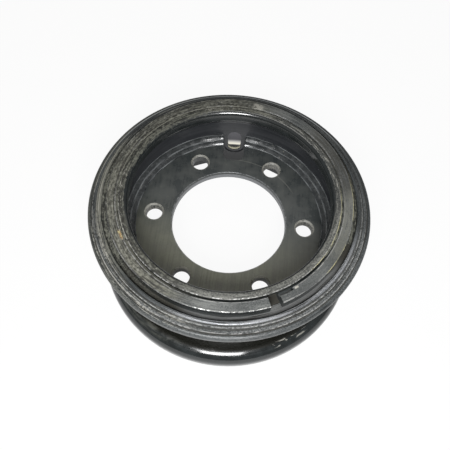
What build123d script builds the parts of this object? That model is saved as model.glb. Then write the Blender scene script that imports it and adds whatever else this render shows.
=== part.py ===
from build123d import *
import math
import os

# A forklift wheel rim of the lock-ring kind, in millimetres, lying on its fixed flange.
# The wheel's axis is Z, the floor is Z = 0, a bolt hole stands at +X and the valve close to +Y.

# Tyre seat and flanges
bead_seat_d = 305.0
flange_height = 33.8
flange_spacing = 98.5
barrel_wall = 7.5
flange_curl = 18.0
flange_skirt = 9.0
flange_skirt_flat = 0.9
flange_root = 8.0
flange_back_round = 4.0

# Gutter and lip at the lock-ring end of the barrel
lip_height = 17.0
lip_step = 8.7
lip_round = 5.5
lip_face = 7.5
groove_depth = 4.8
groove_height = 6.0
groove_corner = 3.0
gutter_wall = 6.5
gutter_taper = 17.0
gutter_bend = 8.0

# Side ring, from its outer edge inwards
side_ring_edge = 13.0
side_ring_edge_round = 5.0
outer_band = 6.0
lower_tread = 5.0
lower_rise = 1.9
upper_tread = 2.6
upper_rise = 3.3
crest_width = 3.9
crest_rise = 3.3
crest_round = 1.0
riser_lean = 0.8
shadow_groove = 1.6
shadow_groove_depth = 1.2
ledge_rise = 1.5
toe_height = 8.0
toe_thickness = 2.0
toe_root = 6.0
side_ring_fit = 0.3

# Lock ring
lock_ring_height = 16.5
lock_ring_margin = 4.7
lock_ring_fit = 0.4
lock_ring_bevel = 3.0
lock_ring_gap = 14.7
lock_ring_gap_angle = -63.4
pry_notch_length = 18.0
pry_notch_depth = 3.0
pry_notch_height = 6.0

# Wheel disc and its holes
disc_face_height = 85.0
disc_thickness = 13.0
disc_fit = 0.1
centre_bore_d = 161.0
bolt_circle_d = 214.0
bolt_count = 6
bolt_hole_d = 23.5
bolt_seat_d = 28.0
bolt_seat_angle = 90.0

# Valve notch in the disc, and slot with a pressed border in the barrel
valve_angle = 93.0
notch_width = 32.0
notch_depth = 41.5
notch_corner = 9.0
valve_slot_width = 20.0
valve_slot_height = 43.5
valve_slot_rise = 12.5
valve_border = 5.5
valve_border_depth = 1.2

# Weld between disc and barrel
weld_leg_disc = 14.5
weld_leg_wall = 9.0
weld_bulge = 0.9
weld_end_space = 1.5

# Small rounding of edges that are otherwise sharp
edge_break = 0.8

# Radii that follow from the sizes above
bead_seat_r = bead_seat_d / 2
wall_r = bead_seat_r - barrel_wall
flange_r = bead_seat_r + flange_height
lip_r = bead_seat_r - lip_step
groove_r = lip_r - groove_depth
lip_bore_r = groove_r - gutter_wall
side_ring_bore_r = bead_seat_r + side_ring_fit

# Heights that follow from the sizes above
flange_face_z = flange_skirt + flange_curl
flange_back_z = flange_face_z - barrel_wall
side_face_z = flange_face_z + flange_spacing
band_z = side_face_z + side_ring_edge
gutter_floor_z = band_z + ledge_rise
lip_top_z = gutter_floor_z + lip_height
lower_tread_z = band_z + lower_rise
upper_tread_z = lower_tread_z + upper_rise
crest_z = upper_tread_z + crest_rise

# Places of the side ring's steps, worked inwards from the outer edge
band_in_r = flange_r - outer_band
lower_out_r = band_in_r - riser_lean
lower_in_r = lower_out_r - lower_tread
upper_out_r = lower_in_r - riser_lean
upper_in_r = upper_out_r - upper_tread
crest_out_r = upper_in_r - riser_lean
crest_in_r = crest_out_r - crest_width
shadow_out_r = crest_in_r - riser_lean
ledge_out_r = shadow_out_r - shadow_groove
lock_ring_r = ledge_out_r - lock_ring_margin


def radial(angle):
    """Direction away from the wheel's axis at an angle from +X."""
    return Vector(1, 0, 0).rotate(Axis.Z, angle)


def meridian(angle):
    """Plane through the wheel's axis, with the radius as its x and the height as its y."""
    return Plane(origin=(0, 0, 0), x_dir=radial(angle), z_dir=radial(angle - 90))


def section(*corners):
    """Closed line of a ring's section, each corner given as a radius, a height and a rounding."""
    points = [(radius, height) for radius, height, _ in corners]
    FilletPolyline(*points, radius=[rounding for *_, rounding in corners], close=True)


# Barrel with gutter lip and fixed flange, rolled in one piece
skirt_round = (barrel_wall - flange_skirt_flat) / 2
skirt_in_r = flange_r - barrel_wall
undercut_z = lip_top_z - lip_face
groove_top_z = gutter_floor_z + groove_height
taper_low_z = gutter_floor_z - gutter_taper
slot_middle_z = disc_face_height + valve_slot_rise - valve_slot_height / 2
border_width = valve_slot_width + 2 * valve_border
border_height = valve_slot_height + 2 * valve_border
valve_out = radial(valve_angle)
valve_side = radial(valve_angle + 90)
valve_face = Plane(origin=valve_out * (wall_r + valve_border_depth), x_dir=valve_side, z_dir=valve_out)

with BuildPart() as rim_base:
    with BuildSketch(meridian(0)):
        with BuildLine():
            section(
                (lip_bore_r, lip_top_z, lip_round),
                (lip_r, lip_top_z, edge_break),
                (lip_r, undercut_z, edge_break),
                (groove_r, groove_top_z, edge_break),
                (groove_r, gutter_floor_z, groove_corner),
                (bead_seat_r, gutter_floor_z, edge_break),
                (bead_seat_r, flange_face_z, flange_root),
                (flange_r, flange_face_z, flange_curl),
                (flange_r, 0, skirt_round),
                (skirt_in_r, 0, skirt_round),
                (skirt_in_r, flange_back_z, flange_curl - barrel_wall),
                (wall_r, flange_back_z, flange_back_round),
                (wall_r, taper_low_z, gutter_bend),
                (lip_bore_r, gutter_floor_z, gutter_bend),
            )
        make_face()
    revolve(axis=Axis.Z)
    with BuildSketch(valve_face):
        with Locations((0, slot_middle_z)):
            SlotOverall(valve_slot_height, valve_slot_width, rotation=90)
    extrude(amount=barrel_wall * 2, mode=Mode.SUBTRACT)
    with BuildSketch(valve_face):
        with Locations((0, slot_middle_z)):
            SlotOverall(border_height, border_width, rotation=90)
    extrude(amount=-barrel_wall, mode=Mode.SUBTRACT)

# Flat disc with centre bore, conical bolt seats and the notch beside the valve
disc_r = wall_r - disc_fit
disc_back_z = disc_face_height - disc_thickness
centre_bore_r = centre_bore_d / 2

with BuildPart() as wheel_disc:
    with BuildSketch(meridian(0)):
        with BuildLine():
            section(
                (centre_bore_r, disc_face_height, edge_break),
                (disc_r, disc_face_height, 0),
                (disc_r, disc_back_z, 0),
                (centre_bore_r, disc_back_z, edge_break),
            )
        make_face()
    revolve(axis=Axis.Z)
    with BuildSketch(Plane(origin=(0, 0, disc_back_z), x_dir=valve_out, z_dir=(0, 0, 1))):
        with Locations((wall_r - notch_depth, 0)):
            RectangleRounded(2 * notch_depth, notch_width, notch_corner, align=(Align.MIN, Align.CENTER))
    extrude(amount=disc_thickness, mode=Mode.SUBTRACT)
    with Locations(Plane.XY.offset(disc_face_height)):
        with PolarLocations(bolt_circle_d / 2, bolt_count):
            CounterSinkHole(bolt_hole_d / 2, bolt_seat_d / 2, disc_thickness, bolt_seat_angle)

# Two-pass fillet weld around the disc, open at the valve notch
weld_r = wall_r - disc_fit
weld_half_angle = math.degrees(math.asin((notch_width / 2 + weld_end_space) / weld_r))
weld_toe = (weld_r - weld_leg_disc, disc_face_height)
weld_top = (weld_r, disc_face_height + weld_leg_wall)
weld_root = (weld_r, disc_face_height)
weld_valley = (weld_r - weld_leg_disc / 2, disc_face_height + weld_leg_wall / 2)
weld_slope = math.hypot(weld_leg_disc, weld_leg_wall)
bulge_step = (-weld_leg_wall / weld_slope * weld_bulge, weld_leg_disc / weld_slope * weld_bulge)


def bead_arc(start, end):
    """Arc of one weld pass between two points of the section, bulging away from the corner."""
    middle = ((start[0] + end[0]) / 2 + bulge_step[0], (start[1] + end[1]) / 2 + bulge_step[1])
    ThreePointArc(start, middle, end)


with BuildPart() as disc_weld:
    with BuildSketch(meridian(valve_angle + weld_half_angle)):
        with BuildLine():
            bead_arc(weld_toe, weld_valley)
            bead_arc(weld_valley, weld_top)
            Polyline(weld_top, weld_root, weld_toe)
        make_face()
    revolve(axis=Axis.Z, revolution_arc=360 - 2 * weld_half_angle)

# Endless side ring, stepped on its outer face and flat on the tyre's side
edge_round = min(side_ring_edge_round, side_ring_edge * 0.45, outer_band * 0.9)
toe_z = side_face_z - toe_height
toe_r = side_ring_bore_r + toe_thickness
toe_fillet = min(toe_root, toe_height - 2 * edge_break)

with BuildPart() as side_ring:
    with BuildSketch(meridian(0)):
        with BuildLine():
            section(
                (side_ring_bore_r, toe_z, edge_break),
                (toe_r, toe_z, edge_break),
                (toe_r, side_face_z, toe_fillet),
                (flange_r, side_face_z, edge_round),
                (flange_r, band_z, edge_round),
                (band_in_r, band_z, 0),
                (lower_out_r, lower_tread_z, 0),
                (lower_in_r, lower_tread_z, 0),
                (upper_out_r, upper_tread_z, 0),
                (upper_in_r, upper_tread_z, 0),
                (crest_out_r, crest_z, crest_round),
                (crest_in_r, crest_z, crest_round),
                (shadow_out_r, gutter_floor_z - shadow_groove_depth, 0),
                (ledge_out_r, gutter_floor_z - shadow_groove_depth, 0),
                (ledge_out_r, gutter_floor_z, 0),
                (side_ring_bore_r, gutter_floor_z, edge_break),
            )
        make_face()
    revolve(axis=Axis.Z)

# Split spring ring, hooked into the gutter's groove and lying on the side ring's ledge
lock_bead_r = groove_r + lock_ring_fit
lock_face_r = lip_r + lock_ring_fit
lock_top_z = gutter_floor_z + lock_ring_height
lock_bead_top_z = groove_top_z - lock_ring_fit
lock_hook_z = undercut_z - lock_ring_fit
lock_bevel_z = lock_top_z - lock_ring_bevel
gap_radius = (lock_face_r + lock_ring_r) / 2
gap_half_angle = math.degrees(lock_ring_gap / gap_radius) / 2
pry_angle = math.degrees(pry_notch_length / gap_radius)
lock_end_angle = lock_ring_gap_angle + gap_half_angle

with BuildPart() as lock_ring:
    with BuildSketch(meridian(lock_end_angle)):
        with BuildLine():
            section(
                (lock_bead_r, gutter_floor_z, groove_corner + lock_ring_fit),
                (lock_ring_r, gutter_floor_z, edge_break),
                (lock_ring_r, lock_top_z, edge_break),
                (lock_face_r + lock_ring_bevel, lock_top_z, 0),
                (lock_face_r, lock_bevel_z, 0),
                (lock_face_r, lock_hook_z, 0),
                (lock_bead_r, lock_bead_top_z, edge_break),
            )
        make_face()
    revolve(axis=Axis.Z, revolution_arc=360 - 2 * gap_half_angle)
    with BuildSketch(meridian(lock_end_angle)):
        with Locations((lock_face_r, lock_top_z)):
            Rectangle(
                2 * (lock_ring_bevel + pry_notch_depth),
                2 * pry_notch_height,
            )
    revolve(axis=Axis.Z, revolution_arc=pry_angle, mode=Mode.SUBTRACT)

# Finished pieces
pieces = {
    "rim_base": rim_base,
    "wheel_disc": wheel_disc,
    "disc_weld": disc_weld,
    "side_ring": side_ring,
    "lock_ring": lock_ring,
}
for name, piece in pieces.items():
    piece.part.label = name
    export_step(piece.part, f"parts/{name}.step")
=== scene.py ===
"""Looks of a multi-piece forklift wheel rim: worn, painted steel rings on a pale floor."""

import logging
import math
from collections.abc import Callable
from dataclasses import dataclass
from enum import Enum

import bmesh
import bpy
from mathutils import Matrix, Vector, noise


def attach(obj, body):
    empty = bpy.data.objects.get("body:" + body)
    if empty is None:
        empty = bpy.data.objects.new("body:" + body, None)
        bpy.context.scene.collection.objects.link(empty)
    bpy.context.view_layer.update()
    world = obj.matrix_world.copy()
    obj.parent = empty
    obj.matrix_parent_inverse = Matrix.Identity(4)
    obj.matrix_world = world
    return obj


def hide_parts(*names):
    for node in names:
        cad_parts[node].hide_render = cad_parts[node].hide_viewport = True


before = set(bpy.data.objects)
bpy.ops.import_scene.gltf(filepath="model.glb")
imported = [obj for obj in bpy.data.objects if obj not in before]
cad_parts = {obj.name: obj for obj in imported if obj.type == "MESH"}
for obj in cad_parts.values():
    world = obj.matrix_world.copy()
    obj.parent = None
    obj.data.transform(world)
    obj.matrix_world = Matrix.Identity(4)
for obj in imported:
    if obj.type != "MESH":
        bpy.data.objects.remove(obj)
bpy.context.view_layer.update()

logging.basicConfig(level=logging.INFO, format="%(levelname)s %(message)s")
LOG = logging.getLogger("wheel_rim")

MM = 0.001
HALF_TURN = 180.0
DEGREES = HALF_TURN / math.pi
SLACK = 0.01
MERGE_REACH = 1e-6
MEAN_RADIUS = 150.0
SLOPE_SHARE = 0.7
SPECK_CORE = 0.5
EDGE_CORE = 0.35
NOISE_ROUGHNESS = 0.6
COAT_ROUGHNESS = 0.08
ROUGHNESS_DRIFT = 0.16

Colour = tuple[float, float, float]
Place = tuple[float, float, float]


class Grain(Enum):
    """Which way a pattern runs on the wheel."""

    EVEN = "even"
    ROUND = "round"
    STRAIGHT = "straight"


@dataclass(frozen=True)
class Span:
    """A range of radii or heights in millimetres.

    Half of each soft end lies inside the range.
    """

    low: float
    high: float
    soft: float


@dataclass(frozen=True)
class Arc:
    """A range of angles about the axis in degrees, which fades beyond its ends."""

    middle: float
    half: float
    soft: float


@dataclass(frozen=True)
class Zone:
    """A part of the wheel's surface.

    Where no angles, radii or heights are given, it has all of them.
    """

    arc: Arc | None = None
    radii: Span | None = None
    heights: Span | None = None


@dataclass(frozen=True)
class Finish:
    """One surface finish, whose colour drifts to a second one over the surface."""

    colour: Colour
    second: Colour
    roughness: float
    metallic: float = 0.0
    coat: float = 0.0


WET_BLACK = Finish((0.012, 0.014, 0.014), (0.018, 0.021, 0.021), 0.24, coat=1.0)
GLOSS_BLACK = Finish((0.009, 0.011, 0.011), (0.018, 0.022, 0.023), 0.17, coat=0.25)
SATIN_BLACK = Finish((0.034, 0.039, 0.040), (0.060, 0.065, 0.063), 0.32)
WALL_BLACK = Finish((0.020, 0.022, 0.025), (0.040, 0.042, 0.046), 0.30)
WELD_BLACK = Finish((0.020, 0.023, 0.024), (0.046, 0.050, 0.052), 0.26, coat=0.5)
WORN_GREY_AND_SHEEN = Finish((0.170, 0.182, 0.190), (0.330, 0.345, 0.350), 0.40)
RING_BLACK = Finish((0.011, 0.0135, 0.014), (0.041, 0.047, 0.048), 0.36)
DISC_OLIVE = Finish((0.112, 0.114, 0.078), (0.160, 0.162, 0.114), 0.45)
SCUFF_GREY = Finish((0.070, 0.074, 0.076), (0.250, 0.258, 0.258), 0.44, metallic=0.25)
LOCK_GREY = Finish((0.040, 0.044, 0.045), (0.160, 0.166, 0.160), 0.44)
LIP_GREY = Finish((0.036, 0.038, 0.035), (0.190, 0.191, 0.174), 0.48)
GREY_STEEL_AND_SHEEN = Finish((0.200, 0.208, 0.222), (0.430, 0.442, 0.462), 0.34, metallic=0.5)
BARE_STEEL_AND_GLINT = Finish((0.500, 0.500, 0.490), (0.720, 0.720, 0.710), 0.32, metallic=1.0)
OLIVE_DIRT = Finish((0.009, 0.010, 0.008), (0.128, 0.130, 0.106), 0.86)
PAINTED_SHADE_BLACK = Finish((0.004, 0.004, 0.003), (0.009, 0.009, 0.006), 0.28)
DARK_DUST_AND_SHADE = Finish((0.014, 0.013, 0.010), (0.036, 0.034, 0.026), 0.90)
TAN_DUST = Finish((0.090, 0.090, 0.072), (0.200, 0.198, 0.165), 0.80)
CHALK = Finish((0.260, 0.254, 0.224), (0.430, 0.420, 0.375), 0.75)
YELLOW_DUST_AND_REFLECTION = Finish((0.380, 0.340, 0.160), (0.560, 0.520, 0.300), 0.85)
CREAM_DUST = Finish((0.520, 0.490, 0.330), (0.780, 0.755, 0.600), 0.85)
RUST = Finish((0.160, 0.090, 0.035), (0.340, 0.230, 0.110), 0.90)


class Sock:
    """A shader socket that takes part in Python expressions."""

    def __init__(self, tree: "Tree", link: bpy.types.NodeSocket) -> None:
        """Keeps the socket and its tree."""
        self.tree = tree
        self.link = link

    def _math(self, operation: str, *values: "Sock | float") -> "Sock":
        """Adds a Math node, whose inputs take the values in order."""
        return self.tree.node("ShaderNodeMath", {"operation": operation}, dict(enumerate(values)))

    def __add__(self, other: "Sock | float") -> "Sock":
        """Sum."""
        return self._math("ADD", self, other)

    __radd__ = __add__

    def __mul__(self, other: "Sock | float") -> "Sock":
        """Product."""
        return self._math("MULTIPLY", self, other)

    __rmul__ = __mul__

    def __sub__(self, other: "Sock | float") -> "Sock":
        """Difference."""
        return self._math("SUBTRACT", self, other)

    def __rsub__(self, other: float) -> "Sock":
        """Difference from a number."""
        return self._math("SUBTRACT", other, self)

    def __truediv__(self, other: "Sock | float") -> "Sock":
        """Quotient."""
        return self._math("DIVIDE", self, other)

    def __abs__(self) -> "Sock":
        """Size without its sign."""
        return self._math("ABSOLUTE", self)

    def __or__(self, other: "Sock | float") -> "Sock":
        """The larger of two masks."""
        return self._math("MAXIMUM", self, other)

    def root(self) -> "Sock":
        """Square root."""
        return self._math("SQRT", self)

    def cosine(self) -> "Sock":
        """Cosine of an angle in radians."""
        return self._math("COSINE", self)

    def sine(self) -> "Sock":
        """Sine of an angle in radians."""
        return self._math("SINE", self)

    def turn_to(self, other: "Sock") -> "Sock":
        """Angle in degrees of the point with this as Y and the other as X."""
        return self._math("ARCTAN2", self, other) * DEGREES

    def wrap(self, half: float) -> "Sock":
        """The value brought between minus half and half."""
        return self._math("WRAP", self, half, -half)

    def rise(self, low: float, high: float) -> "Sock":
        """Mask that grows smoothly from 0 at one value to 1 at another.

        Args:
            low: where the mask is 0.
            high: where the mask is 1, which may be the lower value.
        Returns:
            The mask.
        """
        up = float(low < high)
        ends = {"From Min": min(low, high), "From Max": max(low, high)}
        return self.tree.node(
            "ShaderNodeMapRange",
            {"interpolation_type": "SMOOTHSTEP"},
            {"Value": self, **ends, "To Min": 1.0 - up, "To Max": up},
        )

    def band(self, span: Span) -> "Sock":
        """Mask that is 1 between two values.

        Args:
            span: the values, with the width of each edge.
        Returns:
            The mask.
        """
        half = span.soft / 2.0
        start = self.rise(span.low - half, span.low + half)
        return start * self.rise(span.high + half, span.high - half)


class Tree:
    """A node tree that starts empty and takes its nodes through one method."""

    def __init__(self, nodes: bpy.types.NodeTree) -> None:
        """Empties the tree."""
        self.nodes = nodes
        self.nodes.nodes.clear()

    def node(
        self,
        kind: str,
        settings: dict[str, object],
        inputs: dict[str | int, object],
        output: str | int | None = 0,
    ) -> "Sock | bpy.types.Node":
        """Adds any node.

        Args:
            kind: the node's type.
            settings: attributes of the node, set first.
            inputs: values or links of its sockets, by name or number.
            output: the socket to give back, or None for the node itself.
        Returns:
            The wrapped output socket, or the node.
        """
        made = self.nodes.nodes.new(kind)
        for key, value in settings.items():
            setattr(made, key, value)
        for key, value in inputs.items():
            socket = made.inputs[key]
            if isinstance(value, Sock):
                self.nodes.links.new(value.link, socket)
            else:
                socket.default_value = value
        return made if output is None else Sock(self, made.outputs[output])

    def rays(self, *kinds: str) -> list[Sock]:
        """Which kind of ray meets the surface.

        Args:
            kinds: names of Light Path's outputs.
        Returns:
            One mask for each kind.
        """
        path = self.node("ShaderNodeLightPath", {}, {}, None)
        return [Sock(self, path.outputs[kind]) for kind in kinds]

    def blend(self, mask: Sock, low: Sock | float, high: Sock | float) -> Sock:
        """Mixes two numbers by a mask."""
        return self.node("ShaderNodeMix", {"data_type": "FLOAT"}, {0: mask, 2: low, 3: high})


class Graph(Tree):
    """The node tree of one material, with the wheel's own coordinates in millimetres."""

    def __init__(self, name: str) -> None:
        """Makes an empty material and reads the place of each point.

        Args:
            name: the material's name.
        """
        self.material = bpy.data.materials.new(name)
        self.material.use_nodes = True
        super().__init__(self.material.node_tree)
        place = self.node("ShaderNodeTexCoord", {}, {}, "Object")
        self.place = self.node(
            "ShaderNodeVectorMath", {"operation": "SCALE"}, {0: place, "Scale": 1.0 / MM}
        )
        parts = self.node("ShaderNodeSeparateXYZ", {}, {"Vector": self.place}, None)
        self.x, self.y, self.z = (Sock(self, part) for part in parts.outputs)
        self.r = (self.x * self.x + self.y * self.y).root()
        self.angle = self.y.turn_to(self.x)

    def colour_mix(self, mask: Sock, low: Sock | Colour, high: Sock | Colour) -> Sock:
        """Mixes two colours by a mask."""
        ends = [c if isinstance(c, Sock) else (*c, 1.0) for c in (low, high)]
        return self.node(
            "ShaderNodeMix", {"data_type": "RGBA"}, {0: mask, 6: ends[0], 7: ends[1]}, 2
        )

    def grain(
        self,
        size: float,
        way: Grain = Grain.EVEN,
        length: float = 40.0,
        detail: float = 3.0,
        shift: float = 0.0,
    ) -> Sock:
        """Noise between 0 and 1.

        Args:
            size: width of a spot or streak in millimetres.
            way: even spots, streaks round the axis or straight streaks.
            length: length of a streak in millimetres.
            detail: finer layers of the noise.
            shift: moves the pattern, so that two of them differ.
        Returns:
            The noise.
        """
        if way is Grain.ROUND:
            turn, around = self.angle / DEGREES, MEAN_RADIUS / length
            out = (self.r + self.z * SLOPE_SHARE) / size
            place = (turn.cosine() * around + shift, turn.sine() * around, out)
        else:
            deep = length if way is Grain.STRAIGHT else size
            place = (self.x / size + shift, self.y / deep, self.z / size)
        vector = self.node("ShaderNodeCombineXYZ", {}, dict(enumerate(place)))
        return self.node(
            "ShaderNodeTexNoise",
            {"noise_dimensions": "3D"},
            {"Vector": vector, "Scale": 1.0, "Detail": detail, "Roughness": NOISE_ROUGHNESS},
        )

    def specks(self, size: float, reach: float) -> Sock:
        """Scattered round specks.

        Args:
            size: mean distance between specks in millimetres.
            reach: radius of a speck as a share of that distance.
        Returns:
            A mask that is 1 in the specks.
        """
        near = self.node(
            "ShaderNodeTexVoronoi",
            {"voronoi_dimensions": "3D", "feature": "F1"},
            {"Vector": self.place, "Scale": 1.0 / size, "Randomness": 1.0},
            "Distance",
        )
        return near.rise(reach, reach * SPECK_CORE)

    def edge(self, radius: float, height: float, reach: float) -> Sock:
        """Mask along a round edge of the wheel.

        Args:
            radius: the edge's radius in millimetres.
            height: its height in millimetres.
            reach: how far the mask reaches from the edge.
        Returns:
            A mask that is 1 on the edge and 0 beyond the reach.
        """
        away_r = self.r - radius
        away_z = self.z - height
        away = (away_r * away_r + away_z * away_z).root()
        return away.rise(reach, reach * EDGE_CORE)

    def sector(self, arc: Arc) -> Sock:
        """Mask over a range of angles about the axis."""
        away = abs((self.angle - arc.middle).wrap(HALF_TURN))
        return away.rise(arc.half + arc.soft, arc.half)

    def zone(self, zone: Zone) -> Sock:
        """Mask over a part of the wheel's surface.

        Args:
            zone: the part, with angles, radii or heights.
        Returns:
            A mask that is 1 in it.
        """
        masks = [self.sector(zone.arc)] if zone.arc else []
        masks += [self.r.band(zone.radii)] if zone.radii else []
        masks += [self.z.band(zone.heights)] if zone.heights else []
        return math.prod(masks[1:], start=masks[0])


class Coats:
    """Finishes laid over each other on one surface, from the paint up to the dust."""

    def __init__(self, graph: Graph, grit: Sock, paint: Finish, drift: Sock) -> None:
        """Lays the first finish.

        Args:
            graph: the material's graph.
            grit: where a finish takes its second colour, unless told otherwise.
            paint: the finish under all others.
            drift: where the paint takes its second colour.
        """
        self.graph = graph
        self.grit = grit
        self.colour = graph.colour_mix(drift, paint.colour, paint.second)
        self.roughness = (drift - 0.5) * ROUGHNESS_DRIFT + paint.roughness
        self.metallic: Sock | float = paint.metallic
        self.coat: Sock | float = paint.coat

    def over(self, finish: Finish, mask: Sock, drift: Sock | None = None) -> None:
        """Lays a finish over those below it.

        Args:
            finish: what is laid.
            mask: where it lies.
            drift: where it takes its second colour, or None for the grit.
        """
        where = self.grit if drift is None else drift
        laid = self.graph.colour_mix(where, finish.colour, finish.second)
        self.colour = self.graph.colour_mix(mask, self.colour, laid)
        self.roughness = self.graph.blend(mask, self.roughness, finish.roughness)
        self.metallic = self.laid(mask, self.metallic, finish.metallic)
        self.coat = self.laid(mask, self.coat, finish.coat)

    def laid(self, mask: Sock, below: Sock | float, above: float) -> Sock | float:
        """Mix of a number so far with a layer's own, or the plain number if they are the same."""
        return below if below == above else self.graph.blend(mask, below, above)

    def close(self, height: Sock, depth: float) -> bpy.types.Material:
        """Joins everything in one shader.

        Args:
            height: relief of the surface, from 0 to 1.
            depth: what 1 is worth in millimetres.
        Returns:
            The finished material.
        """
        graph = self.graph
        bump = graph.node("ShaderNodeBump", {}, {"Height": height, "Distance": depth * MM})
        shader = graph.node(
            "ShaderNodeBsdfPrincipled",
            {},
            {
                "Base Color": self.colour,
                "Roughness": self.roughness,
                "Metallic": self.metallic,
                "Coat Weight": self.coat,
                "Coat Roughness": COAT_ROUGHNESS,
                "Normal": bump,
            },
        )
        graph.node("ShaderNodeOutputMaterial", {}, {"Surface": shader}, None)
        return graph.material


def dress(piece: bpy.types.Object, material: bpy.types.Material) -> None:
    """Gives a piece its only material.

    Args:
        piece: the piece to dress.
        material: its finish.
    """
    piece.data.materials.clear()
    piece.data.materials.append(material)
    LOG.info("dressed %s with %s", piece.name, material.name)


def spin(
    name: str,
    section: list[Vector],
    start: float,
    sweep: float,
    steps: int,
    shape: Callable[[bmesh.types.BMVert], None],
) -> bpy.types.Object:
    """Spins a section round the axis to a closed piece.

    Args:
        name: the piece's name.
        section: corners in radius and height in millimetres, with Y left at 0.
        start: angle at which the piece starts, in degrees.
        sweep: how far it goes round, in degrees.
        steps: how many parts the sweep has.
        shape: what moves each point of the plain piece.
    Returns:
        The piece.
    """
    bm = bmesh.new()
    turn = Matrix.Rotation(math.radians(start), 3, "Z")
    face = bm.faces.new([bm.verts.new(turn @ (corner * MM)) for corner in section])
    bmesh.ops.spin(
        bm, geom=[face, *face.edges, *face.verts], cent=(0, 0, 0), axis=(0, 0, 1),
        angle=math.radians(sweep), steps=steps, use_duplicate=False, use_merge=False,
    )
    bmesh.ops.remove_doubles(bm, verts=bm.verts, dist=MERGE_REACH)
    bmesh.ops.recalc_face_normals(bm, faces=bm.faces)
    for vert in bm.verts:
        shape(vert)
    mesh = bpy.data.meshes.new(name)
    bm.to_mesh(mesh)
    bm.free()
    piece = bpy.data.objects.new(name, mesh)
    bpy.context.scene.collection.objects.link(piece)
    return piece


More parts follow.
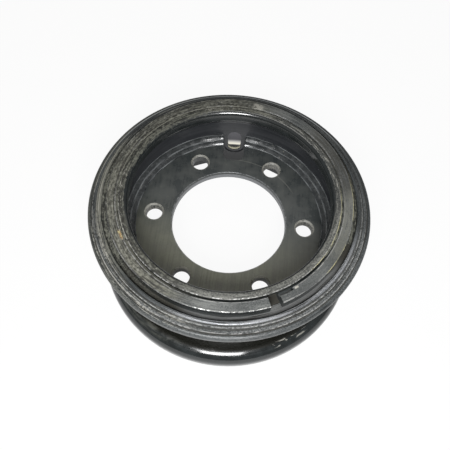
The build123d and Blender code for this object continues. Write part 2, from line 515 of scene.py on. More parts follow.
@dataclass(frozen=True)
class RimBase:
    """Barrel with the fixed flange, the gutter and the lip.

    Sizes are in millimetres, in the wheel's own frame.
    """

    node: str = "rim_base"
    lip_bore: float = 132.5
    lip_radius: float = 143.8
    lip_top: float = 157.0
    groove_radius: float = 139.0
    wall_radius: float = 145.0
    slot_clean: float = 82.0
    slot_dusty: float = 64.0
    near: Arc = Arc(-75.0, 50.0, 50.0)
    right: Arc = Arc(42.0, 34.0, 26.0)
    dirty: Arc = Arc(165.0, 70.0, 35.0)
    wet: Arc = Arc(92.0, 40.0, 30.0)
    dusty: Arc = Arc(124.0, 42.0, 22.0)
    crusted: Arc = Arc(172.0, 40.0, 20.0)
    nicked: Arc = Arc(130.0, 22.0, 12.0)
    flaked: Arc = Arc(142.0, 22.0, 14.0)
    yellow_reflection: Arc = Arc(-14.0, 18.0, 12.0)
    groove_heights: Span = Span(138.0, 151.5, 2.0)
    flecked: Zone = Zone(Arc(150.0, 45.0, 25.0), Span(138.0, 144.5, 2.0))
    valve_slot: Zone = Zone(Arc(93.0, 4.6, 0.6), Span(147.4, 152.2, 0.4))
    tread: Zone = Zone(None, Span(150.0, 155.0, 1.0), Span(34.0, 128.0, 10.0))
    shaded_under_ring: Zone = Zone(None, Span(150.0, 173.0, 3.0), Span(20.0, 38.0, 6.0))
    muddy: Zone = Zone(Arc(-130.0, 14.0, 14.0), Span(170.0, 179.0, 5.0), Span(12.0, 30.0, 4.0))
    scratched: Zone = Zone(Arc(-54.0, 7.0, 3.0), Span(171.5, 178.0, 2.0), Span(12.0, 30.0, 4.0))

    def dress(self) -> None:
        """Black enamel with a worn, dirty lip, a dusty slot, scratches and painted shade on the
        flange.
        """
        g = Graph("rim_enamel")
        blotch = g.grain(14.0)
        grit = g.grain(1.5)
        lines = g.grain(1.8, Grain.ROUND, 22.0, shift=13.0)
        streak = g.grain(1.1, Grain.ROUND, 60.0)
        dots = g.grain(1.6, Grain.ROUND, 3.5, shift=11.0)
        broad = g.grain(5.0, Grain.ROUND, 90.0, shift=9.0)
        chip = g.grain(4.5, detail=4.0, shift=7.0)
        speckle = g.grain(2.4, Grain.ROUND, 5.0, detail=2.0, shift=17.0)
        scratch = g.grain(2.4, Grain.ROUND, 12.0, detail=1.0, shift=3.0)
        near, right, dirty = (g.sector(arc) for arc in (self.near, self.right, self.dirty))

        # Paint of the barrel's inside and of the lip's far rounding.
        coats = Coats(g, grit, GLOSS_BLACK, (streak * 0.5 + blotch * 0.5).rise(0.35, 0.7))
        wall = g.r.rise(self.wall_radius + 4.0, self.wall_radius + 2.5)
        wall *= g.z.rise(self.lip_top - 21.0, self.lip_top - 31.0)
        coats.over(WALL_BLACK, wall, (broad * 0.6 + streak * 0.4).rise(0.35, 0.65))
        smooth = g.sector(self.wet) * g.r.rise(self.lip_bore + 7.5, self.lip_bore + 6.0)
        smooth *= g.z.rise(self.lip_top - 11.0, self.lip_top - 8.0)
        coats.over(WET_BLACK, smooth, blotch)

        # Worn top of the lip, with dirt and dust on its left.
        ragged = g.r + (chip - 0.5) * 8.0
        flat_top = ragged.rise(self.lip_bore + 4.0, self.lip_bore + 5.6)
        # On the near side the wear stops short of the bore, leaving a dark line at the edge as
        # painted shade.
        rounding = near * g.r.rise(self.lip_bore + 2.2, self.lip_bore + 3.2)
        worn = g.z.rise(self.lip_top - 3.6, self.lip_top - 0.6) * (flat_top | rounding)
        scoured = (grit * 0.55 + lines * 0.45).rise(0.40, 0.62)
        coats.over(LIP_GREY, worn * (1.0 - right * 0.55), scoured)
        coats.over(CHALK, worn * right * lines.rise(0.56, 0.64) * 0.7)
        outward = g.r.rise(self.lip_bore + 7.1, self.lip_bore + 8.7)
        mottle = (lines * 0.4 + chip * 0.3 + dots * 0.3 - outward * 0.04).rise(0.44, 0.58)
        coats.over(OLIVE_DIRT, worn * dirty * 0.9, mottle)
        dust = g.sector(self.dusty) * (lines * 0.6 + dots * 0.4).rise(0.42, 0.56)
        coats.over(TAN_DUST, worn * dust * 0.75)
        coats.over(DARK_DUST_AND_SHADE, worn * dirty * speckle.rise(0.50, 0.42) * 0.65)
        coats.over(CHALK, worn * dirty * speckle.rise(0.60, 0.68) * 0.4)

        # Outer edge of the lip: bare metal with a painted highlight, stronger on the near side,
        # then crust, nicks and flecks.
        edge = g.edge(self.lip_radius, self.lip_top, 1.6)
        # Bright edge line: worn metal and a painted highlight, weighted to the near side.
        coats.over(BARE_STEEL_AND_GLINT, edge * dots.rise(0.42, 0.60) * (near * 0.5 + 0.12))
        crust = g.sector(self.crusted) * g.edge(self.lip_radius, self.lip_top, 2.0)
        coats.over(CHALK, crust * (lines * 0.5 + chip * 0.5).rise(0.44, 0.54) * 0.6)
        nicks = g.sector(self.nicked) * g.edge(self.lip_radius, self.lip_top, 3.4)
        coats.over(CHALK, nicks * chip.rise(0.5, 0.58) * 0.8)
        flecks = g.zone(self.flecked) * g.specks(2.6, 0.34)
        coats.over(CHALK, worn * flecks * lines.rise(0.48, 0.56))

        # Groove under the lip, dark with dust and painted shade, flakes on the rounding and a
        # yellow painted reflection on the right.
        groove = g.r.rise(self.groove_radius - 0.5, self.groove_radius + 0.5)
        groove *= g.z.band(self.groove_heights)
        # Dark all round the groove: dust and painted shade.
        coats.over(DARK_DUST_AND_SHADE, groove)
        coats.over(TAN_DUST, groove * dirty * 0.8)
        flakes = g.sector(self.flaked) * g.z.rise(self.lip_top - 6.0, self.lip_top - 3.0)
        flakes *= ragged.rise(self.lip_bore + 1.0, self.lip_bore + 2.4)
        coats.over(OLIVE_DIRT, flakes * 0.85, mottle)
        # Yellow line along the outer edge on the right: painted reflection of a warm surrounding.
        yellow = g.sector(self.yellow_reflection) * g.edge(self.lip_radius, self.lip_top, 1.3)
        coats.over(YELLOW_DUST_AND_REFLECTION, yellow * streak.rise(0.4, 0.52) * 0.9)

        # Valve slot, outside of the barrel, and the flange with a painted shadow under the side
        # ring.
        slot = g.zone(self.valve_slot) * g.z.rise(self.slot_clean, self.slot_dusty)
        coats.over(CREAM_DUST, slot * chip.rise(0.1, 0.3))
        tread = g.zone(self.tread)
        coats.over(RING_BLACK, tread * 0.9, (streak * 0.4 + blotch * 0.6).rise(0.35, 0.65))
        coats.over(TAN_DUST, tread * (broad * 0.5 + chip * 0.5).rise(0.48, 0.66) * 0.2)
        # Near-black band on the flange face under the side ring: painted shadow of the ring.
        coats.over(PAINTED_SHADE_BLACK, g.zone(self.shaded_under_ring) * 0.95)
        mud = g.zone(self.muddy) * blotch.rise(0.38, 0.60)
        coats.over(OLIVE_DIRT, mud * 0.35, lines.rise(0.4, 0.6))
        coats.over(CHALK, g.zone(self.scratched) * scratch.rise(0.54, 0.62) * 0.7)
        relief = grit * worn * 0.8 + blotch * 0.12 + streak * 0.02
        dress(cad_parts[self.node], coats.close(relief, depth=0.4))


@dataclass(frozen=True)
class WheelDisc:
    """Flat disc with the centre bore, the bolt holes and the valve notch."""

    node: str = "wheel_disc"
    face: float = 85.0
    bore_radius: float = 80.5
    bolt_circle: float = 107.0
    bolt_count: int = 6
    seat_radius: float = 14.0
    shaded_seat: Arc = Arc(120.0, 20.0, 10.0)
    scribed: Zone = Zone(Arc(62.0, 24.0, 8.0), Span(103.7, 104.4, 0.5))

    def dress(self) -> None:
        """Satin black paint, olive and lighter towards the near side, pale bolt seats with painted
        shade in some holes and a rubbed bore.
        """
        g = Graph("disc_satin")
        blotch = g.grain(22.0)
        grit = g.grain(0.9, detail=2.0)
        chip = g.grain(2.6, detail=4.0, shift=6.0)
        rolled = g.grain(2.4, Grain.STRAIGHT, 60.0)
        coats = Coats(g, grit, SATIN_BLACK, (rolled * 0.25 + blotch * 0.75).rise(0.35, 0.65))
        # Olive tone, lighter towards the near side.
        near = (g.y + g.x * 0.12).rise(25.0, -100.0)
        olive_drift = (rolled * 0.65 + chip * 0.35).rise(0.36, 0.62)
        coats.over(DISC_OLIVE, near * (blotch * 0.5 + 0.5), olive_drift)
        seat = self.from_hole(g).rise(self.seat_radius + 0.5, self.seat_radius - 0.4)
        cone = g.z.rise(self.face - 3.0, self.face - 1.8)
        hole = seat * (1.0 - cone)
        # Hole walls in the far-left sector get little chalk and stay dark: painted shade.
        pale = 1.0 - g.sector(self.shaded_seat) * 0.85
        coats.over(CHALK, seat * cone * chip.rise(0.3, 0.5) * 0.65)
        coats.over(GLOSS_BLACK, hole)
        coats.over(CHALK, hole * pale * chip.rise(0.36, 0.54) * 0.5)
        bore = g.r.rise(self.bore_radius + 1.7, self.bore_radius + 0.6)
        coats.over(GREY_STEEL_AND_SHEEN, bore * g.z.rise(self.face - 3.5, self.face - 5.5) * 0.7, chip)
        corner = bore * g.z.rise(self.face - 1.0, self.face - 0.1)
        coats.over(GREY_STEEL_AND_SHEEN, corner * chip.rise(0.4, 0.55) * 0.5, rolled)
        line = g.zone(self.scribed) * g.z.rise(self.face - 0.5, self.face - 0.1)
        coats.over(CHALK, line * 0.3)
        coats.over(TAN_DUST, g.specks(9.0, 0.12) * blotch.rise(0.45, 0.7) * 0.6)
        relief = rolled * 0.2 + grit * 0.4 + chip * 0.5
        dress(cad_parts[self.node], coats.close(relief, depth=0.12))

    def from_hole(self, g: Graph) -> Sock:
        """How far a point lies from the axis of the nearest bolt hole.

        Args:
            g: the disc's graph.
        Returns:
            The distance in millimetres.
        """
        turn = g.angle.wrap(HALF_TURN / self.bolt_count) / DEGREES
        along = g.r * turn.cosine() - self.bolt_circle
        across = g.r * turn.sine()
        return (along * along + across * across).root()


@dataclass(frozen=True)
class Lumps:
    """Low lumps along the weld, with their shift on each of the two passes."""

    count: float
    lower_shift: float
    upper_shift: float


@dataclass(frozen=True)
class DiscWeld:
    """Two-pass fillet weld between disc and barrel, with the ripples of the passes."""

    node: str = "disc_weld"
    root_radius: float = 144.9
    disc_face: float = 85.0
    leg_disc: float = 14.5
    leg_wall: float = 9.0
    bulge: float = 0.9
    valve_angle: float = 93.0
    end_half_angle: float = 6.936
    steps: int = 1040
    ripple: float = 0.05
    ripple_pitch: float = 1.04
    ripple_lag: float = 0.35
    pass_shift: float = 0.4
    wander: float = 1.3
    wander_pace: float = 0.31
    lump: float = 0.2
    lumps: tuple[Lumps, ...] = (Lumps(11.0, 2.0, 0.0), Lumps(29.0, 1.0, 4.0))
    curve_points: int = 7
    dusty: Arc = Arc(50.0, 25.0, 15.0)

    def section(self) -> list[Vector]:
        """Corners of the weld's section in radius and height, from the toe to the root.

        Returns:
            Points in millimetres, with Y left at 0.
        """
        toe = Vector((self.root_radius - self.leg_disc, 0.0, self.disc_face))
        top = Vector((self.root_radius, 0.0, self.disc_face + self.leg_wall))
        middle = (toe + top) / 2.0
        out = Vector((-self.leg_wall, 0.0, self.leg_disc)).normalized()
        line = []
        for start, end in ((toe, middle), (middle, top)):
            for step in range(self.curve_points):
                near_sheen = step / self.curve_points
                height = 4.0 * self.bulge * near_sheen * (1.0 - near_sheen)
                line.append(start.lerp(end, near_sheen) + out * height)
        return [*line, top, Vector((self.root_radius, 0.0, self.disc_face))]

    def build(self) -> bpy.types.Object:
        """Spins the section round the axis and adds the ripples.

        Returns:
            The weld's piece, which stands for its CAD node.
        """
        start = self.valve_angle + self.end_half_angle
        sweep = 2.0 * (HALF_TURN - self.end_half_angle)
        piece = spin("disc_weld_bead", self.section(), start, sweep, self.steps, self.shape)
        piece.data.shade_smooth()
        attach(piece, "root")
        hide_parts(self.node)
        return piece

    def shape(self, vert: bmesh.types.BMVert) -> None:
        """Moves one point of the weld's free face in or out, as the passes left it.

        Args:
            vert: the point, on the plain weld.
        """
        place = vert.co / MM
        radius = math.hypot(place.x, place.y)
        rise = place.z - self.disc_face
        if radius > self.root_radius - SLACK or rise < SLACK:
            return
        angle = math.degrees(math.atan2(place.y, place.x))
        lower = rise < self.leg_wall / 2.0
        lag = self.ripple_lag * math.cos(math.pi * (rise / self.leg_wall * 2.0 % 1.0 - 0.5))
        phase = (angle + lag + (self.pass_shift if lower else 0.0)) / self.ripple_pitch
        drift = self.wander * math.sin(angle * self.wander_pace)
        wave = math.sin(2.0 * math.pi * phase + drift)
        turn = math.radians(angle)
        lump = 0.0
        for lumps in self.lumps:
            shift = lumps.lower_shift if lower else lumps.upper_shift
            lump += math.sin(turn * lumps.count + shift) - 1.0
        move = (self.ripple * wave + self.lump * lump) * min(1.0, rise)
        inward = -self.leg_wall / radius
        out = Vector((place.x * inward, place.y * inward, self.leg_disc))
        vert.co += out.normalized() * move * MM

    def dress(self, piece: bpy.types.Object) -> None:
        """Black paint over the ripples, with pale lines along the two toes and the middle: rubbed
        paint and painted reflection.

        Args:
            piece: the weld's piece.
        """
        g = Graph("weld_enamel")
        blotch = g.grain(9.0)
        grit = g.grain(1.2, detail=2.0)
        streak = g.grain(1.0, Grain.ROUND, 25.0)
        coats = Coats(g, grit, WELD_BLACK, blotch.rise(0.35, 0.7))
        low_toe = g.edge(self.root_radius - self.leg_disc, self.disc_face, 2.2)
        half_disc, half_wall = self.leg_disc / 2.0, self.leg_wall / 2.0
        middle = g.edge(self.root_radius - half_disc, self.disc_face + half_wall, 1.5)
        top_toe = g.edge(self.root_radius, self.disc_face + self.leg_wall, 2.0)
        rubbed_and_sheen = (low_toe | top_toe | middle * 0.7) * streak.rise(0.40, 0.56)
        # Pale lines on the toes and the middle: rubbed paint and painted reflection lines.
        coats.over(WORN_GREY_AND_SHEEN, rubbed_and_sheen * 0.75)
        dust = g.sector(self.dusty) * g.specks(5.0, 0.2) * blotch.rise(0.45, 0.6)
        coats.over(TAN_DUST, dust)
        dress(piece, coats.close(grit * 0.25 + blotch * 0.35, depth=0.3))


@dataclass(frozen=True)
class SideRing:
    """Endless side ring with its stepped outer face."""

    node: str = "side_ring"
    band_inner: float = 180.3
    band_height: float = 138.5
    lower_outer: float = 179.5
    lower_height: float = 140.4
    upper_outer: float = 173.7
    upper_height: float = 143.7
    crest_outer: float = 170.3
    crest_inner: float = 166.4
    crest_height: float = 147.0
    near: Arc = Arc(-90.0, 60.0, 50.0)
    left: Arc = Arc(175.0, 45.0, 35.0)
    crest_reflection: Arc = Arc(-68.0, 38.0, 24.0)
    chalked_crest: Arc = Arc(160.0, 30.0, 20.0)
    dusty_crest: Arc = Arc(188.0, 24.0, 22.0)
    back: Arc = Arc(95.0, 40.0, 30.0)
    rubbed_ledge: Arc = Arc(-66.0, 30.0, 14.0)
    dirty_ledge: Arc = Arc(125.0, 95.0, 40.0)
    dull: Zone = Zone(Arc(-120.0, 7.0, 9.0), Span(165.0, 177.0, 2.0))
    chalked: Zone = Zone(Arc(-132.0, 26.0, 14.0), Span(171.0, 184.0, 3.0))

    def dress(self) -> None:
        """Worn black paint with a painted sheen, bare step edges with painted highlights, painted
        shade and dirt in the corners, and chalky streaks.
        """
        g = Graph("side_ring_worn")
        blotch = g.grain(16.0)
        patch = g.grain(42.0, detail=1.0, shift=3.0)
        grit = g.grain(1.4)
        streak = g.grain(1.6, Grain.ROUND, 55.0)
        dots = g.grain(1.4, Grain.ROUND, 4.0, shift=4.0)
        fine = g.grain(0.9, Grain.ROUND, 50.0, shift=8.0)
        chip = g.grain(4.0, detail=4.0, shift=2.0)
        left = g.sector(self.left)
        # Near-side weighting: painted sheen where the rings face the lamp.
        near_sheen = g.sector(self.near) * 0.8 + patch.rise(0.4, 0.65) * 0.2

        # Scuffed band, treads and crest, with a painted sheen that makes them lighter on the near
        # side.
        coats = Coats(g, grit, RING_BLACK, (streak * 0.6 + grit * 0.4).rise(0.38, 0.62))
        band = g.r.rise(self.band_inner - 0.5, self.band_inner + 0.5)
        band *= g.z.rise(self.band_height - 8.5, self.band_height - 2.5)
        treads = g.r.band(Span(self.crest_outer + 0.4, self.band_inner, 0.6))
        rubbed_and_sheen = (streak * 0.75 + grit * 0.25).rise(0.38, 0.60)
        sheen_shown = (near_sheen * 0.85 + 0.15) * (1.0 - left * 0.6)
        scuffs = (band * 0.3 + treads * 0.75) * rubbed_and_sheen * sheen_shown
        coats.over(SCUFF_GREY, scuffs, grit.rise(0.4, 0.6))
        coats.over(TAN_DUST, band * left * rubbed_and_sheen * 0.45)
        crest = g.r.band(Span(self.crest_inner - 1.0, self.crest_outer + 0.6, 0.8))
        crest *= g.z.rise(self.crest_height - 4.5, self.crest_height - 2.0)
        # Grey steel on the crest, strong on the near side: worn metal and a painted reflection of
        # the lamps.
        coats.over(GREY_STEEL_AND_SHEEN, crest * (g.sector(self.crest_reflection) * 0.95 + 0.04) * rubbed_and_sheen)
        coats.over(RING_BLACK, g.zone(self.dull) * 0.7, streak)

        # Painted shade in the inner corners, bare metal with a painted highlight on the outer ones.
        coats.over(DARK_DUST_AND_SHADE, self.shaded_corners(g) * 0.85)
        # Bright step edges, stronger on the near side: worn metal and a painted highlight.
        lower = g.edge(self.lower_outer, self.lower_height, 1.0) * near_sheen * 0.7
        upper = g.edge(self.upper_outer, self.upper_height, 1.0) * (near_sheen * 0.8 + 0.05)
        coats.over(BARE_STEEL_AND_GLINT, (lower | upper) * dots.rise(0.40, 0.58))
        # Pale line along the far lower edge: worn paint and a painted highlight.
        far_edge_glint = g.sector(self.back) * g.edge(self.lower_outer, self.lower_height, 2.2)
        coats.over(WORN_GREY_AND_SHEEN, far_edge_glint * streak.rise(0.30, 0.46))

        # Ledge under the lock ring: painted shade all round, with scuffs on the near side and olive
        # dirt.
        ledge = g.r.rise(self.crest_inner - 0.6, self.crest_inner - 1.2)
        ledge *= g.z.rise(self.band_height - 2.0, self.band_height)
        # Dark over the whole ledge: painted shade under the lock ring.
        coats.over(DARK_DUST_AND_SHADE, ledge)
        clean = ledge * g.sector(self.rubbed_ledge) * streak.rise(0.34, 0.5)
        coats.over(SCUFF_GREY, clean * 0.7)
        filled = ledge * g.sector(self.dirty_ledge) * chip.rise(0.35, 0.55)
        coats.over(OLIVE_DIRT, filled * 0.8, grit.rise(0.4, 0.6))

        # Dust and chalky streaks on the left.
        high = g.sector(self.dusty_crest) * g.r.band(Span(self.crest_inner, self.upper_outer, 1.0))
        high *= g.z.rise(self.upper_height - 1.9, self.upper_height - 0.9)
        coats.over(TAN_DUST, high * (streak * 0.6 + chip * 0.4).rise(0.38, 0.52) * 0.85)
        chalky = g.zone(self.chalked) * fine.rise(0.52, 0.6) * chip.rise(0.4, 0.54)
        coats.over(CHALK, chalky * 0.65)
        crest_line = g.sector(self.chalked_crest) * g.edge(self.crest_outer, self.crest_height, 1.6)
        coats.over(CHALK, crest_line * streak.rise(0.40, 0.52) * 0.8)
        rim_line = left * g.edge(self.lower_outer, self.lower_height, 1.5)
        coats.over(CHALK, rim_line * streak.rise(0.4, 0.55) * 0.6)
        underside = g.z.rise(self.band_height + 0.5, self.band_height - 8.5)
        coats.over(TAN_DUST, underside * 0.06 * blotch)
        relief = grit * 0.6 + streak * 0.4 + chip * 0.4
        dress(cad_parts[self.node], coats.close(relief, depth=0.4))

    def shaded_corners(self, g: Graph) -> Sock:
        """Mask of the three inner corners between the steps, which are painted dark as shade.

        Args:
            g: the ring's graph.
        Returns:
            The mask.
        """
        outer = g.edge(self.band_inner - 0.3, self.band_height, 1.5)
        lower = g.edge(self.upper_outer + 0.6, self.lower_height, 1.5)
        upper = g.edge(self.crest_outer + 0.6, self.upper_height, 1.4)
        return outer | lower | upper


@dataclass(frozen=True)
class LockRing:
    """Split lock ring that sits in the gutter."""

    node: str = "lock_ring"
    outer_radius: float = 159.3
    inner_radius: float = 147.2
    top: float = 156.5
    near: Arc = Arc(-90.0, 60.0, 50.0)
    dirty: Arc = Arc(165.0, 70.0, 35.0)
    dusty: Arc = Arc(128.0, 36.0, 22.0)
    sooty: Arc = Arc(28.0, 14.0, 16.0)
    dark: Arc = Arc(-34.0, 14.0, 12.0)
    pale_right: Arc = Arc(-10.0, 12.0, 12.0)
    edge_glint: Arc = Arc(-76.0, 14.0, 16.0)
    yellow_reflection: Arc = Arc(-12.0, 20.0, 12.0)
    inner_rim: Span = Span(146.0, 149.2, 1.0)
    pale_left: Zone = Zone(Arc(-148.0, 32.0, 14.0), Span(149.5, 157.5, 2.0))
    smeared: Zone = Zone(Arc(81.0, 1.8, 1.6), Span(145.5, 155.0, 3.0))
    first_spot: Zone = Zone(Arc(-34.0, 0.7, 0.8), Span(145.3, 147.0, 1.2))
    second_spot: Zone = Zone(Arc(-52.0, 0.6, 0.7), Span(148.0, 150.4, 1.2))
    rusty: Zone = Zone(Arc(-149.0, 1.6, 1.8), Span(145.5, 150.0, 1.6))

    def dress(self) -> None:
        """Grey worn top, bare outer edge with a painted highlight, dark outer face, dirt, a yellow
        painted reflection, smears and one rust spot.
        """
        g = Graph("lock_ring_worn")
        blotch = g.grain(15.0)
        patch = g.grain(45.0, detail=1.0, shift=1.0)
        grit = g.grain(1.4)
        streak = g.grain(1.6, Grain.ROUND, 30.0)
        dots = g.grain(1.6, Grain.ROUND, 4.0, shift=2.0)
        chip = g.grain(4.5, detail=4.0, shift=4.0)
        speckle = g.grain(2.4, Grain.ROUND, 5.0, detail=2.0, shift=19.0)
        dirty = g.sector(self.dirty)
        on_top = g.z.rise(self.top - 1.0, self.top - 0.3)

        # Paint, and the worn top with darker places on the right.
        coats = Coats(g, grit, RING_BLACK, blotch.rise(0.35, 0.7))
        outside = g.r.rise(self.outer_radius - 1.6, self.outer_radius - 0.8)
        coats.over(GLOSS_BLACK, outside * 0.9)
        coats.over(LOCK_GREY, on_top, (grit * 0.4 + streak * 0.35 + patch * 0.25).rise(0.38, 0.62))
        coats.over(DARK_DUST_AND_SHADE, on_top * g.sector(self.sooty) * streak.rise(0.3, 0.55) * 0.8)
        coats.over(RING_BLACK, on_top * g.sector(self.dark) * streak.rise(0.35, 0.6) * 0.6)

        # Dirt and dust on the left and the far side.
        outward = g.r.rise(self.inner_radius + 4.3, self.inner_radius + 5.8)
        mottle = (streak * 0.4 + chip * 0.3 + dots * 0.3 - outward * 0.05).rise(0.44, 0.58)
        coats.over(OLIVE_DIRT, on_top * dirty * 0.85, mottle)
        dust = g.sector(self.dusty) * (streak * 0.6 + dots * 0.4).rise(0.43, 0.56)
        coats.over(TAN_DUST, on_top * dust * 0.6)
        pale = g.zone(self.pale_left) | g.sector(self.pale_right) * 0.5
        coats.over(TAN_DUST, on_top * pale * (streak * 0.6 + chip * 0.4).rise(0.36, 0.54))
        coats.over(DARK_DUST_AND_SHADE, on_top * dirty * speckle.rise(0.50, 0.42) * 0.65)
        coats.over(CHALK, on_top * dirty * speckle.rise(0.60, 0.68) * 0.4)
        rim_dirt = on_top * dirty * g.r.band(self.inner_rim)
        coats.over(DARK_DUST_AND_SHADE, rim_dirt * chip.rise(0.60, 0.44) * 0.75)
        inside = g.r.rise(self.inner_radius + 2.2, self.inner_radius + 0.6) * (1.0 - on_top)
        coats.over(TAN_DUST, inside * dirty * blotch.rise(0.25, 0.45))

        # Bare metal on the edges with a painted highlight, strongest on the near side, then smears,
        # spots and rust.
        bright = patch.rise(0.45, 0.65) * 0.2
        outer = g.edge(self.outer_radius, self.top, 1.7)
        outer *= g.sector(self.edge_glint) * 0.8 + bright + 0.05
        inner = g.edge(self.inner_radius, self.top, 1.2) * (g.sector(self.near) * 0.3 + bright)
        coats.over(BARE_STEEL_AND_GLINT, (outer | inner) * dots.rise(0.38, 0.52))
        # Yellow line along the outer edge on the right: painted reflection of a warm surrounding.
        yellow = g.sector(self.yellow_reflection) * g.edge(self.outer_radius, self.top, 1.3)
        coats.over(YELLOW_DUST_AND_REFLECTION, yellow * streak.rise(0.44, 0.54) * 0.85)
        spots = g.zone(self.smeared) * 0.7 | g.zone(self.first_spot) | g.zone(self.second_spot)
        coats.over(CHALK, on_top * spots * chip.rise(0.35, 0.5))
        rusty = g.zone(self.rusty) * on_top
        coats.over(RUST, rusty * grit.rise(0.40, 0.50), grit.rise(0.45, 0.6))
        coats.over(YELLOW_DUST_AND_REFLECTION, rusty * dots.rise(0.52, 0.60) * 0.7)
        relief = grit * 0.7 + streak * 0.2 + chip * 0.4
        dress(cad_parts[self.node], coats.close(relief, depth=0.4))


@dataclass(frozen=True)
class PackedDirt:
    """Dirt packed in the gap between two rings, over a part of the round."""

    name: str
    slot: str
    inner_radius: float
    outer_radius: float
    low: float
    top: float
    start_angle: float
    end_angle: float
    taper: float
    lumps: float = 1.1
    coarse_pace: float = 0.16
    coarse_share: float = 0.6
    fine_pace: float = 0.55
    fine_share: float = 0.3
    deepest: float = 0.9
    top_parts: int = 4
    steps: int = 520
    tan: Arc = Arc(172.0, 32.0, 20.0)
    dark: Arc = Arc(72.0, 42.0, 26.0)

    def build(self) -> bpy.types.Object:
        """Spins a flat strip round the axis and makes its top uneven.

        Returns:
            The dirt's piece.
        """
        width = self.outer_radius - self.inner_radius
        section = [(self.inner_radius, self.low), (self.outer_radius, self.low)]
        for step in range(self.top_parts + 1):
            section.append((self.outer_radius - width * step / self.top_parts, self.top))
        shaded_corners = [Vector((r, 0.0, z)) for r, z in section]
        sweep = self.end_angle - self.start_angle
        piece = spin(self.name, shaded_corners, self.start_angle, sweep, self.steps, self.settle)
        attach(piece, "root")
        return piece

    def settle(self, vert: bmesh.types.BMVert) -> None:
        """Lowers one point of the top by lumps and towards both ends.

        Args:
            vert: the point.
        """
        place = vert.co / MM
        if place.z < (self.low + self.top) / 2.0:
            return
        angle = math.degrees(math.atan2(place.y, place.x))
        along = (angle - self.start_angle + SLACK) % (2.0 * HALF_TURN)
        to_end = min(along, self.end_angle - self.start_angle - along) / self.taper
        coarse = self.coarse_share * (1.0 - noise.noise(place * self.coarse_pace))
        fine = self.fine_share * (1.0 - noise.noise(place * self.fine_pace))
        drop = self.lumps * (coarse + fine)
        depth = (self.top - self.low) * self.deepest
        vert.co.z -= min(depth, drop + depth * max(0.0, 1.0 - to_end)) * MM

    def dress(self, piece: bpy.types.Object) -> None:
        """Mottled olive dirt, darker on the far side and along its outer gap.

        Args:
            piece: the dirt's piece.
        """
        g = Graph(self.name)
        chip = g.grain(4.5, detail=4.0)
        lines = g.grain(1.8, Grain.ROUND, 20.0)
        grit = g.grain(1.2, detail=2.0)
        dots = g.grain(1.5, Grain.ROUND, 4.0, shift=5.0)
        coats = Coats(g, grit, OLIVE_DIRT, (chip * 0.3 + lines * 0.4 + dots * 0.3).rise(0.44, 0.58))
        coats.over(TAN_DUST, chip.rise(0.5, 0.65) * g.sector(self.tan) * 0.6)
        darker = lines.rise(0.60, 0.42) * 0.4 + 0.55
        coats.over(DARK_DUST_AND_SHADE, g.sector(self.dark) * darker)
        gap = g.r.rise(self.outer_radius - 1.8, self.outer_radius - 0.6)
        coats.over(DARK_DUST_AND_SHADE, gap * chip.rise(0.66, 0.46) * 0.8)
        dress(piece, coats.close(grit * 0.6 + chip * 0.4, depth=0.5))


@dataclass(frozen=True)
class Lamp:
    """One soft area lamp, with its sizes in metres."""

    name: str
    place: Place
    target: Place
    size: tuple[float, float]
    watts: float
    colour: Colour = (1.0, 1.0, 1.0)

    def build(self) -> None:
        """Sets the lamp up, turned to its target."""
        data = bpy.data.lights.new(self.name, "AREA")
        data.shape = "RECTANGLE"
        data.size, data.size_y = self.size
        data.energy = self.watts
        data.color = self.colour
        lamp = bpy.data.objects.new(self.name, data)
        lamp.location = self.place
        lamp.rotation_mode = "QUATERNION"
        back = Vector(self.place) - Vector(self.target)
        lamp.rotation_quaternion = back.to_track_quat("Z", "Y")
        bpy.context.scene.collection.objects.link(lamp)


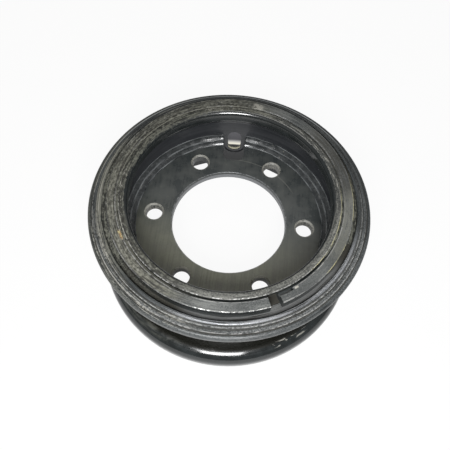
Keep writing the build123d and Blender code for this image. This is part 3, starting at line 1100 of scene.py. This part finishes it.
@dataclass(frozen=True)
class Studio:
    """Camera, lamps, pale floor and white surroundings."""

    camera_place: Place = (0.02206, -0.33764, 0.70648)
    camera_tilt: float = 62.04
    camera_roll: float = 2.53
    camera_turn: float = 4.57
    lens: float = 40.0
    sensor: float = 36.0
    near_clip: float = 0.01
    lamps: tuple[Lamp, ...] = (
        Lamp("front_lamp", (0.0356, -0.5452, 0.6511), (0.0, 0.0, 0.0), (0.30, 0.30), 7.4),
        Lamp(
            "overhead_panel", (0.0, 0.42, 1.5), (0.0, 0.42, 0.0), (0.7, 0.4), 3.0,
            (1.0, 0.98, 0.92),
        ),
    )
    floor_size: float = 12.0
    floor_colour: Colour = (0.9, 0.9, 0.9)
    floor_glow: float = 0.93
    floor_glow_mirrored: float = 0.25
    glow_colour: Colour = (1.0, 1.0, 1.0)
    painted_shadow_colour: Colour = (0.22, 0.22, 0.24)
    shade_back: float = 84.0
    shade_radius: float = 224.0
    shade_fade: float = 60.0
    flange_inside: float = 178.0
    flange_outside: float = 186.0
    slot: Arc = Arc(93.0, 3.5, 5.0)
    slot_reach: float = 209.0
    slot_fade: float = 12.0
    painted_slot_light_colour: Colour = (0.94, 0.90, 0.75)
    sky_light: float = 0.26
    sky_seen: float = 1.0

    def build(self) -> None:
        """Sets up everything that isn't the wheel."""
        self.camera()
        for lamp in self.lamps:
            lamp.build()
        self.floor()
        self.sky()
        bpy.context.scene.view_settings.view_transform = "Standard"

    def camera(self) -> None:
        """Camera at the height, turn and roll from which the wheel is seen."""
        tilt, roll = math.radians(self.camera_tilt), math.radians(self.camera_roll)
        right = Vector((1.0, 0.0, 0.0))
        back = Vector((0.0, -math.cos(tilt), math.sin(tilt)))
        up = back.cross(right)
        across = right * math.cos(roll) + up * math.sin(roll)
        upward = up * math.cos(roll) - right * math.sin(roll)
        turn = Matrix.Rotation(math.radians(self.camera_turn), 3, "Z")
        axes = turn @ Matrix((across, upward, back)).transposed()
        data = bpy.data.cameras.new("camera")
        data.lens = self.lens
        data.sensor_width = self.sensor
        data.clip_start = self.near_clip
        camera = bpy.data.objects.new("camera", data)
        camera.matrix_world = Matrix.Translation(self.camera_place) @ axes.to_4x4()
        bpy.context.scene.collection.objects.link(camera)
        bpy.context.scene.camera = camera

    def outside(self, graph: Graph) -> Sock:
        """Mask of the floor outside the wheel's flange."""
        return graph.r.rise(self.flange_inside, self.flange_outside)

    def slot_light(self, graph: Graph) -> Sock:
        """Mask of a pool of light painted on the floor where light would come through the valve
        slot.
        """
        reached = graph.r.rise(self.slot_reach, self.slot_reach - self.slot_fade)
        return graph.sector(self.slot) * reached

    def shade(self, graph: Graph) -> Sock:
        """Where a shadow of the wheel is painted on the floor behind it, but for the painted light
        of the slot.

        Args:
            graph: the floor's graph.
        Returns:
            A mask that is 1 in the shadow.
        """
        back = graph.y - self.shade_back
        away = (graph.x * graph.x + back * back).root()
        behind = away.rise(self.shade_radius, self.shade_radius - self.shade_fade)
        return behind * self.outside(graph) * (1.0 - self.slot_light(graph))

    def seen(self, graph: Graph) -> Sock:
        """How much the floor glows to a ray from the camera or from a glossy surface.

        Args:
            graph: the floor's graph.
        Returns:
            The share of the glow.
        """
        camera, glossy, through = graph.rays(
            "Is Camera Ray", "Is Glossy Ray", "Is Transmission Ray"
        )
        lit = (1.0 - self.shade(graph)) * self.floor_glow
        return (camera | through) * lit | glossy * self.floor_glow_mirrored

    def floor(self) -> None:
        """Pale floor that glows a little to the camera, with a painted shadow behind the wheel and
        a painted pool of light from the slot.
        """
        bm = bmesh.new()
        bmesh.ops.create_grid(bm, x_segments=1, y_segments=1, size=self.floor_size / 2.0)
        mesh = bpy.data.meshes.new("floor")
        bm.to_mesh(mesh)
        bm.free()
        floor = bpy.data.objects.new("floor", mesh)
        bpy.context.scene.collection.objects.link(floor)
        g = Graph("floor_white")
        # Darker paint in the shadow behind the wheel: painted shadow.
        paint = g.colour_mix(self.shade(g), self.floor_colour, self.painted_shadow_colour)
        matt = g.node("ShaderNodeBsdfDiffuse", {}, {"Color": paint})
        # Cream glow on the floor in front of the valve slot: painted pool of light.
        lit = self.slot_light(g) * self.outside(g)
        tint = g.colour_mix(lit, self.glow_colour, self.painted_slot_light_colour)
        glow = g.node("ShaderNodeEmission", {}, {"Color": tint, "Strength": 1.0})
        mixed = g.node("ShaderNodeMixShader", {}, {0: self.seen(g), 1: matt, 2: glow})
        g.node("ShaderNodeOutputMaterial", {}, {"Surface": mixed}, None)
        dress(floor, g.material)

    def sky(self) -> None:
        """Surroundings, white to the camera, that give an even, weaker light."""
        world = bpy.data.worlds.new("studio")
        bpy.context.scene.world = world
        world.use_nodes = True
        tree = Tree(world.node_tree)
        camera, through = tree.rays("Is Camera Ray", "Is Transmission Ray")
        strength = tree.blend(camera | through, self.sky_light, self.sky_seen)
        white = (*self.glow_colour, 1.0)
        back = tree.node("ShaderNodeBackground", {}, {"Color": white, "Strength": strength})
        tree.node("ShaderNodeOutputWorld", {}, {"Surface": back}, None)


@dataclass(frozen=True)
class Wheel:
    """The whole rim, piece by piece."""

    rim_base: RimBase = RimBase()
    wheel_disc: WheelDisc = WheelDisc()
    disc_weld: DiscWeld = DiscWeld()
    side_ring: SideRing = SideRing()
    lock_ring: LockRing = LockRing()
    dirt: tuple[PackedDirt, ...] = (
        PackedDirt(
            "groove_dirt", "rim_paint", inner_radius=143.9, outer_radius=147.0,
            low=152.0, top=156.2, start_angle=-38.0, end_angle=226.0, taper=14.0,
        ),
        PackedDirt(
            "ledge_dirt", "side_ring_paint", inner_radius=159.4, outer_radius=166.6,
            low=139.5, top=146.9, start_angle=-16.0, end_angle=222.0, taper=36.0,
        ),
    )

    def build(self) -> None:
        """Dresses the CAD pieces and makes the weld and the dirt."""
        self.rim_base.dress()
        self.wheel_disc.dress()
        self.disc_weld.dress(self.disc_weld.build())
        self.side_ring.dress()
        self.lock_ring.dress()
        for heap in self.dirt:
            heap.dress(heap.build())


def main() -> None:
    """Builds the wheel and the studio around it."""
    Wheel().build()
    Studio().build()


if __name__ == "__main__":
    main()
